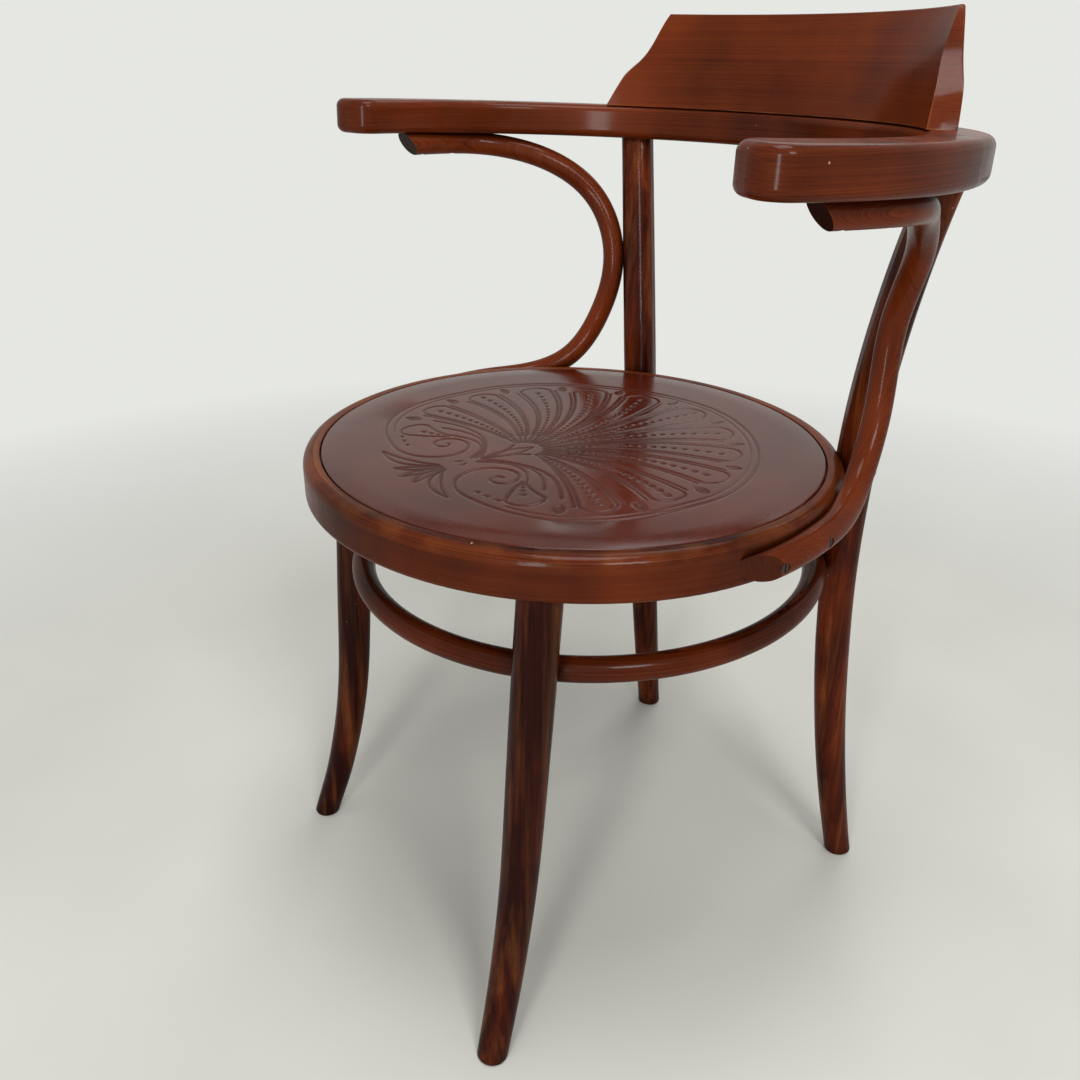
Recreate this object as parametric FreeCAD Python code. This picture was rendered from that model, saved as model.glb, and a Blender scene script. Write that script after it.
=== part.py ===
import FreeCAD
import Part
import math
import os

V = FreeCAD.Vector

# Captains chair in bent wood: a round seat on four legs, a hoop between the legs,
# a horseshoe bow that is back rest and arms, and a crest rail on the bow.
# Millimetres, +Z up. The chair faces -Y, and right and left are as seen from its front, right at +X.
# It is modelled about the middle of the seat and moved at the end,
# so that the origin lies on the floor under the middle of the whole chair.

# Seat
seat_height = 444.0
seat_half_width = 234.0
seat_half_depth = 226.0
rim_height = 35.6
rim_land = 14.4
ledge_width = 25.0
panel_thickness = 5.0
panel_gap = 1.0
panel_edge_round = 1.2
rim_top_round = 9.0
rim_bottom_round = 5.0
rim_inner_round = 3.0

# Front legs
front_leg_angle = 40.6
front_leg_inset = 20.0
front_leg_top_diameter = 34.0
front_leg_foot_diameter = 25.5
front_leg_lean = 0.0685
front_flare_height = 200.0
front_flare_out = 15.0
front_flare_forward = 25.2
front_tenon_diameter = 20.0
front_tenon_length = 21.0
foot_round = 2.5
foot_height = 3.0

# Rear legs, which go on above the seat as back posts
rear_leg_angle = 53.0
rear_notch_depth = 2.5
post_width = 31.5
post_depth = 32.0
post_top_taper = 2.0
post_corner = 11.0
rear_leg_ring_diameter = 31.0
rear_leg_foot_diameter = 25.5
rear_foot_out = 8.6
rear_foot_back = 45.0
post_lean_out = 0.064
post_lean_back = -0.02
post_top_out = 39.2
post_top_back = 12.4
post_tenon_diameter = 16.0
post_tenon_length = 20.0

# Hoop between the legs
ring_height = 335.3
ring_tilt = 1.2
ring_diameter = 20.4
ring_let_in = 1.5

# Arm bow
arm_height = 676.6
bow_thickness = 30.0
bow_tilt = 1.65
bow_radius = 285.6
bow_centre_back = -18.0
bow_back_angle = 67.0
arm_radius = 247.6
arm_turn_angle = 40.6
bow_back_width = 46.0
arm_width = 53.0
arm_corner_round = 21.0
bow_edge_round = 7.0

# Crest rail
crest_height = 82.5
crest_half_angle = 46.2
crest_set_back = 2.0
crest_base_thickness = 21.0
crest_top_thickness = 3.6
crest_lean = 19.6
crest_belly = 3.2
crest_end_run = 55.0
crest_edge_round = 1.4

# Arm supports
support_diameter = 21.2
support_start = 53.0
support_start_inset = 12.0
support_run = 79.0
support_flat = 1.0
support_post_height = 562.0
support_post_swing = 13.0
support_bulge = 12.0
support_rim_angle = 23.0
support_end_angle = -4.5
support_rim_drop = 11.0
support_end_drop = 19.5
support_let_in = 1.5
support_start_slant = 37.0
support_end_slant = 55.0

# Fasteners and dowels
screw_diameter = 4.5
screw_head_diameter = 8.5
screw_head_depth = 2.6
screw_slot_width = 1.1
screw_slot_depth = 1.2
screw_sink = 1.0
ring_screw_length = 36.0
rim_screw_length = 38.0
rim_screw_angles = (14.0, 2.0)
arm_screw_length = 34.0
arm_screw_places = (24.0, 62.0)
bolt_diameter = 6.0
bolt_head_diameter = 15.0
bolt_head_height = 3.5
washer_diameter = 16.0
washer_thickness = 1.5
nut_width = 10.0
washer_seat_gap = 0.3
nut_thickness = 5.0
bolt_end_length = 2.0
dowel_diameter = 8.0
dowel_length = 36.0
dowel_angles = (-34.0, -12.0, 12.0, 34.0)

# Clearance of every tenon, dowel, screw and let-in face
joint_clearance = 0.1

# Places worked out from the sizes
rim_bottom = seat_height - rim_height
bolt_height = rim_bottom + rim_height / 2
panel_half_width = seat_half_width - rim_land - panel_gap
panel_half_depth = seat_half_depth - rim_land - panel_gap
support_radius = support_diameter / 2
ring_radius_tube = ring_diameter / 2


def seat_edge(angle, outset, height):
    """Point at an angle from +X round the seat, outset outwards from the rim's outer wall"""
    turn = math.radians(angle)
    return V((seat_half_width + outset) * math.cos(turn), (seat_half_depth + outset) * math.sin(turn), height)


def seat_normal(angle):
    """Outward level direction of the rim's outer wall at an angle from +X"""
    turn = math.radians(angle)
    return V(seat_half_depth * math.cos(turn), seat_half_width * math.sin(turn), 0).normalize()


def placed(shape, point, direction):
    """The shape with its own +Z turned to a direction and its origin moved to a point"""
    copy = shape.copy()
    copy.Placement = FreeCAD.Placement(point, FreeCAD.Rotation(V(0, 0, 1), direction))
    return copy


def half_space(point, normal, reach):
    """A block that begins at a plane and lies on the side its normal points to"""
    block = Part.makeBox(2 * reach, 2 * reach, reach, V(-reach, -reach, 0))
    return placed(block, point, normal)


def mirrored(shape):
    """The left-hand twin of a right-hand piece"""
    return shape.mirror(V(0, 0, 0), V(1, 0, 0))


def oval_disc(half_width, half_depth, low, high):
    """Upright elliptic disc between two heights"""
    ellipse = Part.Ellipse(V(0, 0, low), max(half_width, half_depth), min(half_width, half_depth))
    face = Part.Face(Part.Wire([ellipse.toShape()]))
    disc = face.extrude(V(0, 0, high - low))
    if half_depth > half_width:
        disc.rotate(V(0, 0, 0), V(0, 0, 1), 90)
    return disc


def edges_at(shape, height, least_reach=0.0):
    """Edges of a shape that lie in the level plane at a height, at least so far from the middle"""
    found = []
    for edge in shape.Edges:
        box = edge.BoundBox
        if abs(box.ZMin - height) < 0.01 and abs(box.ZMax - height) < 0.01 and box.XMax > least_reach:
            found.append(edge)
    return found


# Screws, bolts and dowels

def screw_body(length, extra):
    """Countersunk wood screw along +Z, head flush at zero, grown by an extra all round"""
    head = screw_head_diameter / 2 + extra
    shank = screw_diameter / 2 + extra
    tip_start = length - 2 * screw_diameter
    outline = [V(0, 0, 0), V(head, 0, 0), V(shank, 0, screw_head_depth), V(shank, 0, tip_start)]
    outline += [V(extra + 0.2, 0, length + extra), V(0, 0, length + extra), V(0, 0, 0)]
    return Part.Face(Part.makePolygon(outline)).revolve(V(0, 0, 0), V(0, 0, 1), 360)


def screw(length, point, direction):
    """A slotted screw with its head at a point, driven along a direction"""
    slot_length = 2 * screw_head_diameter
    slot = Part.makeBox(slot_length, screw_slot_width, 2 * screw_slot_depth,
                        V(-slot_length / 2, -screw_slot_width / 2, -screw_slot_depth))
    return placed(screw_body(length, 0).cut(slot), point, direction)


def screw_hole(length, point, direction):
    """The space that a screw needs, open towards the driver"""
    open_end = Part.makeCylinder(screw_head_diameter / 2 + joint_clearance, screw_head_diameter,
                                 V(0, 0, -screw_head_diameter))
    return placed(screw_body(length, joint_clearance).fuse(open_end), point, direction)


def peg(diameter, length, point, direction):
    """Round peg along a direction, from a point"""
    return placed(Part.makeCylinder(diameter / 2, length), point, direction)


# Seat

def make_seat_rim():
    rim = oval_disc(seat_half_width, seat_half_depth, rim_bottom, seat_height)
    rim = rim.makeFillet(rim_top_round, edges_at(rim, seat_height))
    rim = rim.makeFillet(rim_bottom_round, edges_at(rim, rim_bottom))
    opening_width = panel_half_width - ledge_width
    opening_depth = panel_half_depth - ledge_width
    rim = rim.cut(oval_disc(opening_width, opening_depth, rim_bottom, seat_height))
    ledge = seat_height - panel_thickness
    rim = rim.cut(oval_disc(panel_half_width + panel_gap, panel_half_depth + panel_gap, ledge, seat_height))
    rim = rim.makeFillet(rim_inner_round, [e for e in edges_at(rim, rim_bottom) if e.BoundBox.XMax < opening_width + 1])
    inner = panel_half_width + panel_gap
    top = [e for e in edges_at(rim, seat_height) if e.BoundBox.XMax < inner + 1]
    return rim.makeFillet(panel_edge_round, top)


def make_seat_panel():
    panel = oval_disc(panel_half_width, panel_half_depth, seat_height - panel_thickness, seat_height)
    return panel.makeFillet(panel_edge_round, edges_at(panel, seat_height))


# Legs

def front_leg_centre(height):
    """Centre line of the right front leg: a slight lean and a sabre flare near the foot"""
    top = seat_edge(-front_leg_angle, -front_leg_inset, rim_bottom)
    flare = max(0.0, 1 - height / front_flare_height) ** 2
    forward = front_leg_lean * (rim_bottom - height) + front_flare_forward * flare
    return V(top.x + front_flare_out * flare, top.y - forward, height)


def front_leg_width(height):
    """Diameter of the front leg, fullest near the top"""
    share = height / rim_bottom
    return front_leg_foot_diameter + (front_leg_top_diameter - front_leg_foot_diameter) * math.sin(share * math.pi / 2)


def make_front_leg():
    heights = [rim_bottom * step / 10 for step in range(11)]
    wires = []
    for height in heights:
        circle = Part.Circle(front_leg_centre(height), V(0, 0, 1), front_leg_width(height) / 2)
        wires.append(Part.Wire([circle.toShape()]))
    leg = Part.makeLoft(wires, True, False)
    leg = leg.makeFillet(foot_round, edges_at(leg, 0.0))
    base = front_leg_centre(rim_bottom) - V(0, 0, front_tenon_length)
    return leg.fuse(peg(front_tenon_diameter, 2 * front_tenon_length, base, V(0, 0, 1)))


def front_leg_socket():
    base = front_leg_centre(rim_bottom) - V(0, 0, front_tenon_length)
    length = 2 * front_tenon_length + joint_clearance
    return peg(front_tenon_diameter + 2 * joint_clearance, length, base, V(0, 0, 1))


def rear_leg_seat():
    """Where the rear leg's centre line passes the rim's middle"""
    return seat_edge(rear_leg_angle, post_depth / 2 - rear_notch_depth, bolt_height)


def bent(share, run, slope, offset):
    """Sideways offset of a bent leg: it leaves the seat at a slope and ends at an offset"""
    return slope * run * share + (offset - slope * run) * share ** 2


def rear_leg_centre(height):
    """Centre line of the right rear leg and post, bent out and back at the foot and at the top"""
    middle = rear_leg_seat()
    if height < bolt_height:
        share = (bolt_height - height) / bolt_height
        out = bent(share, bolt_height, -post_lean_out, rear_foot_out)
        back = bent(share, bolt_height, -post_lean_back, rear_foot_back)
    else:
        rise = arm_height - bolt_height
        share = (height - bolt_height) / rise
        out = bent(share, rise, post_lean_out, post_top_out)
        back = bent(share, rise, post_lean_back, post_top_back)
    return V(middle.x + out, middle.y + back, height)


def rear_section(height):
    """Width, depth and corner radius of the rear leg, round below and flatter above the seat"""
    round_corner = 0.48
    if height < ring_height:
        swell = math.sin(height / ring_height * math.pi / 2)
        diameter = rear_leg_foot_diameter + (rear_leg_ring_diameter - rear_leg_foot_diameter) * swell
        return diameter, diameter, round_corner * diameter
    share = min(1.0, (height - ring_height) / (seat_height - ring_height))
    taper = post_top_taper * max(0.0, (height - seat_height) / (arm_height - seat_height))
    width = rear_leg_ring_diameter + (post_width - rear_leg_ring_diameter) * share - taper
    depth = rear_leg_ring_diameter + (post_depth - rear_leg_ring_diameter) * share - taper
    start = round_corner * rear_leg_ring_diameter
    return width, depth, start + (post_corner - start) * share


def rounded_rectangle(width, depth, corner):
    """Level rounded rectangle about the origin, width along X and depth along Y"""
    half_w = width / 2
    half_d = depth / 2
    diagonal = corner * (1 - math.sqrt(0.5))
    bends = []
    for sx, sy in ((1, 1), (-1, 1), (-1, -1), (1, -1)):
        side = V(sx * half_w, sy * (half_d - corner), 0)
        middle = V(sx * (half_w - diagonal), sy * (half_d - diagonal), 0)
        end = V(sx * (half_w - corner), sy * half_d, 0)
        first, last = (side, end) if sx * sy > 0 else (end, side)
        bends.append((first, middle, last))
    edges = []
    for index, (first, middle, last) in enumerate(bends):
        edges.append(Part.Arc(first, middle, last).toShape())
        edges.append(Part.LineSegment(last, bends[(index + 1) % 4][0]).toShape())
    return Part.Wire(edges)


def rear_leg_turn():
    """Turn that makes the flat of the post face the middle of the seat"""
    normal = seat_normal(rear_leg_angle)
    return math.degrees(math.atan2(normal.y, normal.x)) - 90


def make_rear_leg():
    """Leg and post in one length, cut off under the bow, with its tenon"""
    below = [foot_height] + [ring_height * step / 5 for step in range(1, 6)]
    above = [bolt_height + (arm_height + bow_thickness - bolt_height) * step / 5 for step in range(6)]
    wires = []
    for height in below + above:
        wire = rounded_rectangle(*rear_section(height))
        turn = FreeCAD.Rotation(V(0, 0, 1), rear_leg_turn())
        wire.Placement = FreeCAD.Placement(rear_leg_centre(height), turn)
        wires.append(wire)
    foot = Part.Face(wires[0]).extrude(V(0, 0, -foot_height))
    foot = foot.makeFillet(foot_round, edges_at(foot, 0.0))
    leg = Part.makeLoft(wires, True, False).fuse(foot)
    leg = leg.cut(half_space(V(0, 0, arm_height), bow_up(), 2 * bow_radius))
    return leg.fuse(post_tenon(0.0))


# Bow

def bow_frame():
    """Place of the bow: the middle of its underside at arm height, tipped back"""
    return FreeCAD.Placement(V(0, 0, arm_height), FreeCAD.Rotation(V(1, 0, 0), -bow_tilt))


def bow_up():
    """Direction square to the bow's flat faces"""
    return bow_frame().Rotation.multVec(V(0, 0, 1))


def post_top():
    """Where the post's centre line meets the bow's underside"""
    height = arm_height
    for _ in range(5):
        height = arm_height - math.tan(math.radians(bow_tilt)) * rear_leg_centre(height).y
    return rear_leg_centre(height)


def post_tenon(clearance):
    """Tenon of the post along its own line, or its socket when a clearance is given"""
    top = post_top()
    direction = (top - rear_leg_centre(top.z - post_tenon_length)).normalize()
    diameter = post_tenon_diameter + 2 * clearance
    return peg(diameter, 2 * post_tenon_length + clearance, top - direction * post_tenon_length, direction)


def around(centre, radius, angle):
    """Point at a radius from a centre, at an angle from straight back towards the right"""
    turn = math.radians(angle)
    return centre + V(radius * math.sin(turn), radius * math.cos(turn), 0)


def arm_centre():
    """Centre of the right arm's outer arc, in the bow's frame"""
    return around(V(0, bow_centre_back, 0), bow_radius - arm_radius, bow_back_angle)


def arm_line(distance, inset):
    """Point of the right arm, a distance from its front end and an inset from its middle, in the bow's frame"""
    radius = arm_radius + (bow_back_width - arm_width) / 2 - inset
    angle = bow_back_angle + arm_turn_angle - math.degrees(distance / radius)
    return around(arm_centre(), radius, angle)


def make_arm_bow():
    back_centre = V(0, bow_centre_back, 0)
    outer_back = bow_radius + bow_back_width / 2
    inner_back = bow_radius - bow_back_width / 2
    outer_arm = arm_radius + bow_back_width / 2
    end_angle = bow_back_angle + arm_turn_angle
    outer_joint = around(back_centre, outer_back, bow_back_angle)
    outer_middle = around(arm_centre(), outer_arm, bow_back_angle + arm_turn_angle / 2)
    outer_end = around(arm_centre(), outer_arm, end_angle)
    inner_end = around(arm_centre(), outer_arm - arm_width, end_angle)
    inner_joint = around(back_centre, inner_back, bow_back_angle)
    inwards = around(V(0, 0, 0), 1, bow_back_angle)
    chord = inner_end - inner_joint
    inner_radius = -chord.dot(chord) / (2 * chord.dot(inwards))
    inner_centre = inner_joint - inwards * inner_radius
    halfway = ((inner_joint + inner_end) * 0.5 - inner_centre).normalize()
    inner_middle = inner_centre + halfway * inner_radius

    def left(point):
        return V(-point.x, point.y, point.z)

    corners = [outer_end, inner_end, left(outer_end), left(inner_end)]
    edges = [
        Part.Arc(left(outer_joint), around(back_centre, outer_back, 0), outer_joint),
        Part.Arc(outer_joint, outer_middle, outer_end),
        Part.LineSegment(outer_end, inner_end),
        Part.Arc(inner_end, inner_middle, inner_joint),
        Part.Arc(inner_joint, around(back_centre, inner_back, 0), left(inner_joint)),
        Part.Arc(left(inner_joint), left(inner_middle), left(inner_end)),
        Part.LineSegment(left(inner_end), left(outer_end)),
        Part.Arc(left(outer_end), left(outer_middle), left(outer_joint)),
    ]
    outline = Part.Wire([edge.toShape() for edge in edges])
    bow = Part.Face(outline).extrude(V(0, 0, bow_thickness))
    upright = []
    for edge in bow.Edges:
        at = edge.CenterOfMass
        if any(math.hypot(at.x - corner.x, at.y - corner.y) < 0.1 for corner in corners):
            upright.append(edge)
    bow = bow.makeFillet(arm_corner_round, upright)
    bow = bow.makeFillet(bow_edge_round, edges_at(bow, 0.0, -1000) + edges_at(bow, bow_thickness, -1000))
    bow.Placement = bow_frame()
    return bow


# Crest rail

def crest_front():
    """Radius of the crest's front face at its foot"""
    return bow_radius - bow_back_width / 2 + crest_set_back


def make_crest_rail():
    """Board bent round the bow's back, thinner at the top, its ends cut in an S"""
    base = bow_thickness
    foot = crest_front()
    centre = V(0, bow_centre_back, 0)

    def section(radius, height):
        return V(0, bow_centre_back + radius, base + height)

    top = foot + crest_lean
    belly = section((foot + top) / 2 - crest_belly, crest_height / 2)
    edges = [
        Part.Arc(section(foot, 0), belly, section(top, crest_height)),
        Part.LineSegment(section(top, crest_height), section(top + crest_top_thickness, crest_height)),
        Part.LineSegment(section(top + crest_top_thickness, crest_height), section(foot + crest_base_thickness, 0)),
        Part.LineSegment(section(foot + crest_base_thickness, 0), section(foot, 0)),
    ]
    face = Part.Face(Part.Wire([edge.toShape() for edge in edges]))
    face.rotate(centre, V(0, 0, 1), crest_half_angle)
    crest = face.revolve(centre, V(0, 0, 1), -2 * crest_half_angle)
    long_top_edges = [edge for edge in edges_at(crest, base + crest_height) if edge.Length > foot]
    crest = crest.makeFillet(crest_edge_round, long_top_edges)
    cutter = crest_end_cutter()
    crest = crest.cut(cutter).cut(mirrored(cutter))
    return crest


def crest_end_cutter():
    """Block that leaves the S-shaped right end of the crest, cut further in at the front than at the back"""
    half_run_angle = math.degrees(crest_end_run / crest_front()) / 2
    start = crest_front() * math.sin(math.radians(half_run_angle))
    front = [(0, 0), (0.12, 0.15), (0.33, 0.35), (0.575, 0.5), (0.77, 0.69), (0.885, 0.86), (1.0, 1.0)]
    back = [(0, 0), (0.06, 0.15), (0.225, 0.35), (0.48, 0.5), (0.70, 0.69), (0.84, 0.86), (0.97, 1.0)]
    wires = []
    for shares, depth in ((front, crest_front()), (back, crest_front() + crest_base_thickness)):
        points = [V(start - crest_end_run * run, depth, bow_thickness + crest_height * rise) for run, rise in shares]
        curve = Part.BSplineCurve()
        curve.interpolate(points)
        above = points[-1] + V(0, 0, crest_height)
        below = points[0] - V(0, 0, crest_height)
        outwards = V(2 * crest_end_run, 0, 0)
        lines = Part.makePolygon([points[-1], above, above + outwards, below + outwards, below, points[0]])
        wires.append(Part.Wire([curve.toShape()] + lines.Edges))
    block = Part.makeLoft(wires, True, True)
    front_face = Part.Face(wires[0])
    back_face = Part.Face(wires[1])
    block = block.fuse(front_face.extrude(V(0, -crest_set_back - 1, 0)))
    block = block.fuse(back_face.extrude(V(0, crest_base_thickness, 0)))
    block.rotate(V(0, 0, 0), V(0, 0, 1), half_run_angle - crest_half_angle)
    block.translate(V(0, bow_centre_back, 0))
    return block


# Arm supports

def support_under_arm(distance):
    """Centre of the rod under the arm, a distance from its own front end, running outwards to the arm's middle"""
    inset = support_start_inset * (1 - distance / support_run)
    point = arm_line(support_start + distance, inset) - V(0, 0, support_radius - support_flat)
    return bow_frame().multVec(point)


def support_post_outwards():
    """Level direction from the post's middle to the rod that touches it"""
    turn = math.radians(rear_leg_turn() - support_post_swing)
    return V(math.cos(turn), math.sin(turn), 0)


def support_at_post():
    """Centre of the rod where it touches the post"""
    half_post = rear_section(support_post_height)[0] / 2
    reach = (half_post + support_radius - joint_clearance) / math.cos(math.radians(support_post_swing))
    return rear_leg_centre(support_post_height) + support_post_outwards() * reach


def support_on_rim(angle):
    """Centre of the rod where it lies against the rim, sinking a little towards its end"""
    share = (support_rim_angle - angle) / (support_rim_angle - support_end_angle)
    drop = support_rim_drop + (support_end_drop - support_rim_drop) * share
    return seat_edge(angle, support_radius - support_let_in, seat_height - drop)


def support_points():
    """Points of the rod's centre line, from under the arm to the rim"""
    start = support_under_arm(0)
    middle = support_under_arm(support_run / 2)
    run_end = support_under_arm(support_run)
    post = support_at_post()
    rim = support_on_rim(support_rim_angle)
    across = post - run_end
    bulge = V(across.y, -across.x, 0).normalize() * support_bulge
    points = [start, middle, run_end]
    for turn in (math.pi / 6, math.pi / 3):
        level = V(across.x, across.y, 0) * math.sin(turn) + bulge * math.sin(2 * turn)
        points.append(run_end + level + V(0, 0, across.z * (1 - math.cos(turn))))
    points.append(post)
    across = rim - post
    for turn in (math.pi / 6, math.pi / 3):
        level = V(across.x, across.y, 0) * (1 - math.cos(turn))
        points.append(post + level + V(0, 0, across.z * math.sin(turn)))
    for step in range(4):
        angle = support_rim_angle + (support_end_angle - support_rim_angle) * step / 3
        points.append(support_on_rim(angle))
    return points


def make_arm_support():
    """Bent rod with both ends cut on a slant"""
    curve = Part.BSplineCurve()
    curve.interpolate(support_points())
    start = curve.value(curve.FirstParameter)
    forward = curve.tangent(curve.FirstParameter)[0] * -1
    end = curve.value(curve.LastParameter)
    along = curve.tangent(curve.LastParameter)[0]
    circle = Part.Circle(start, forward, support_radius)
    rod = Part.Wire([curve.toShape()]).makePipeShell([Part.Wire([circle.toShape()])], True, False)
    rod = slanted_end(rod, start, forward, bow_up() * -1, support_start_slant)
    return slanted_end(rod, end, along, seat_normal(support_end_angle), support_end_slant)


def slanted_end(rod, end, along, side, slant):
    """The rod cut on a slant that takes more off one side"""
    turn = math.radians(slant)
    corner = end - side * support_radius
    normal = along * math.cos(turn) + side * math.sin(turn)
    return rod.cut(half_space(corner, normal, 3 * support_diameter))


# Hoop

def ring_place():
    """Centre and radius of the hoop that touches all four legs from inside"""
    front = front_leg_centre(ring_height)
    rear = rear_leg_centre(ring_height)
    front_reach = front_leg_width(ring_height) / 2
    rear_reach = rear_leg_ring_diameter / 2

    def room(leg, reach, centre):
        return math.hypot(leg.x, leg.y - centre) - reach - ring_radius_tube + ring_let_in

    low = -seat_half_depth
    high = seat_half_depth
    for _ in range(50):
        centre = (low + high) / 2
        if room(front, front_reach, centre) < room(rear, rear_reach, centre):
            low = centre
        else:
            high = centre
    return V(0, centre, ring_height), room(front, front_reach, centre)


def make_leg_ring(growth):
    """The hoop, or the space it needs when it is grown"""
    centre, radius = ring_place()
    torus = Part.makeTorus(radius, ring_radius_tube + growth)
    torus.Placement = FreeCAD.Placement(centre, FreeCAD.Rotation(V(1, 0, 0), ring_tilt))
    return torus


def ring_screw_place(leg):
    """Head point and direction of the screw from inside the hoop into a leg"""
    centre, radius = ring_place()
    outwards = V(leg.x - centre.x, leg.y - centre.y, 0).normalize()
    rise = outwards.y * math.tan(math.radians(ring_tilt))
    start = centre + outwards * (radius - ring_radius_tube + screw_sink)
    return start + V(0, 0, rise * radius), outwards


# Places of the right-hand screws, each as length, head point and direction

def ring_screws():
    places = []
    for leg in (front_leg_centre(ring_height), rear_leg_centre(ring_height)):
        places.append((ring_screw_length,) + ring_screw_place(leg))
    return places


def rim_screws():
    places = []
    for angle in rim_screw_angles:
        outwards = seat_normal(angle)
        head = support_on_rim(angle) + outwards * (support_radius - screw_sink)
        places.append((rim_screw_length, head, outwards * -1))
    return places


def arm_screws():
    places = []
    for distance in arm_screw_places:
        head = support_under_arm(distance) - bow_up() * (support_radius - screw_sink)
        places.append((arm_screw_length, head, bow_up()))
    return places


def bolt_places():
    """Outward direction, seat of the bolt's head and seat of its washer on the right rear leg"""
    outwards = seat_normal(rear_leg_angle)
    middle = rear_leg_seat()
    head = middle + outwards * (post_depth / 2 - screw_sink)
    rim_width = rim_land + panel_gap + ledge_width
    inner = middle - outwards * (post_depth / 2 - rear_notch_depth + rim_width + washer_seat_gap)
    return outwards, head, inner


def make_bolt():
    """Round-headed bolt through the post and the rim"""
    outwards, head, inner = bolt_places()
    length = (head - inner).Length + washer_thickness + nut_thickness + bolt_end_length
    radius = bolt_head_diameter / 2
    ball_radius = (radius ** 2 + bolt_head_height ** 2) / (2 * bolt_head_height)
    ball = Part.makeSphere(ball_radius, V(0, 0, bolt_head_height - ball_radius))
    cap = ball.common(Part.makeCylinder(radius, bolt_head_height))
    shank = Part.makeCylinder(bolt_diameter / 2, length, V(0, 0, -length))
    return placed(cap.fuse(shank), head, outwards)


def make_washer():
    outwards, _, inner = bolt_places()
    disc = Part.makeCylinder(washer_diameter / 2, washer_thickness)
    hole = Part.makeCylinder(bolt_diameter / 2 + joint_clearance, washer_thickness)
    return placed(disc.cut(hole), inner, outwards * -1)


def make_nut():
    outwards, _, inner = bolt_places()
    corner = nut_width / math.sqrt(3)
    points = [V(corner * math.cos(k * math.pi / 3), corner * math.sin(k * math.pi / 3), 0) for k in range(7)]
    prism = Part.Face(Part.makePolygon(points)).extrude(V(0, 0, nut_thickness))
    hole = Part.makeCylinder(bolt_diameter / 2 + joint_clearance, nut_thickness)
    return placed(prism.cut(hole), inner - outwards * washer_thickness, outwards * -1)


def bolt_hole():
    """Space of the bolt through post and rim, with the seat of its head"""
    outwards, head, inner = bolt_places()
    hole = peg(bolt_diameter + 2 * joint_clearance, 2 * (head - inner).Length, inner - outwards * ledge_width, outwards)
    return hole.fuse(peg(bolt_head_diameter + 2 * joint_clearance, post_depth, head, outwards))


def dowels(clearance):
    """The dowels between bow and crest, or their sockets when a clearance is given"""
    shapes = []
    radius = crest_front() + crest_base_thickness / 2
    for angle in dowel_angles:
        middle = around(V(0, bow_centre_back, bow_thickness), radius, angle)
        start = middle - V(0, 0, dowel_length / 2 + clearance)
        pin = Part.makeCylinder(dowel_diameter / 2 + clearance, dowel_length + 2 * clearance, start)
        pin.Placement = bow_frame().multiply(pin.Placement)
        shapes.append(pin)
    return shapes


# Assembly

def holes(places):
    return [screw_hole(*place) for place in places]


def both(shapes):
    """Right-hand shapes with their left-hand twins"""
    return shapes + [mirrored(shape) for shape in shapes]


def without(shape, tools):
    """A piece less each of the tools that reach into it"""
    for tool in tools:
        shape = shape.cut(tool)
    return shape


def build_chair():
    """Every piece by name, in the frame of the seat"""
    ring_holes = holes(ring_screws())
    rim_holes = holes(rim_screws())
    arm_holes = holes(arm_screws())
    whole_rim = make_seat_rim()
    whole_bow = make_arm_bow()
    whole_ring = make_leg_ring(0.0)
    ring_space = make_leg_ring(joint_clearance)

    rim_tools = both([front_leg_socket(), bolt_hole()] + rim_holes)
    bow_tools = both([post_tenon(joint_clearance)] + arm_holes) + dowels(joint_clearance)
    front_leg = without(make_front_leg(), [ring_space, ring_holes[0]])
    rear_leg = without(make_rear_leg(), [whole_rim, ring_space, ring_holes[1], bolt_hole()])
    support = without(make_arm_support(), [whole_rim, whole_bow, rear_leg] + rim_holes + arm_holes)

    crest = make_crest_rail()
    crest.Placement = bow_frame().multiply(crest.Placement)
    pieces = {
        "seat_rim": without(whole_rim, rim_tools),
        "seat_panel": make_seat_panel(),
        "leg_ring": without(whole_ring, both(ring_holes)),
        "arm_bow": without(whole_bow, bow_tools),
        "crest_rail": without(crest, dowels(joint_clearance)),
        "crest_dowels": dowels(0.0),
        "ring_screws": both([screw(*place) for place in ring_screws()]),
        "support_rim_screws": both([screw(*place) for place in rim_screws()]),
        "support_arm_screws": both([screw(*place) for place in arm_screws()]),
        "rear_leg_bolts": both([make_bolt()]),
        "rear_leg_washers": both([make_washer()]),
        "rear_leg_nuts": both([make_nut()]),
    }
    for name, piece in (("front_leg", front_leg), ("rear_leg", rear_leg), ("arm_support", support)):
        pieces[name + "_right"] = piece
        pieces[name + "_left"] = mirrored(piece)
    return pieces


def solids_of(piece):
    """One shape of a piece that may be a group of separate solids"""
    return Part.makeCompound(piece) if isinstance(piece, list) else piece


def export(pieces):
    """Moves the origin under the middle of the chair and writes each piece"""
    os.makedirs("parts", exist_ok=True)
    shapes = {name: solids_of(piece) for name, piece in pieces.items()}
    box = Part.makeCompound(list(shapes.values())).optimalBoundingBox(True, False)
    shift = V(-(box.XMin + box.XMax) / 2, -(box.YMin + box.YMax) / 2, 0)
    for name, shape in shapes.items():
        shape.translate(shift)
        shape.exportStep("parts/" + name + ".step")
    print("moved by", round(shift.x, 3), round(shift.y, 3), "pieces", len(shapes))
    print("overall", round(box.XLength, 1), round(box.YLength, 1), round(box.ZLength, 1))


export(build_chair())
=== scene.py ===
"""Looks of the captains chair: lacquered bent beech, a pressed seat panel and darkened steel screws."""

import math
from functools import partial

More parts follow.
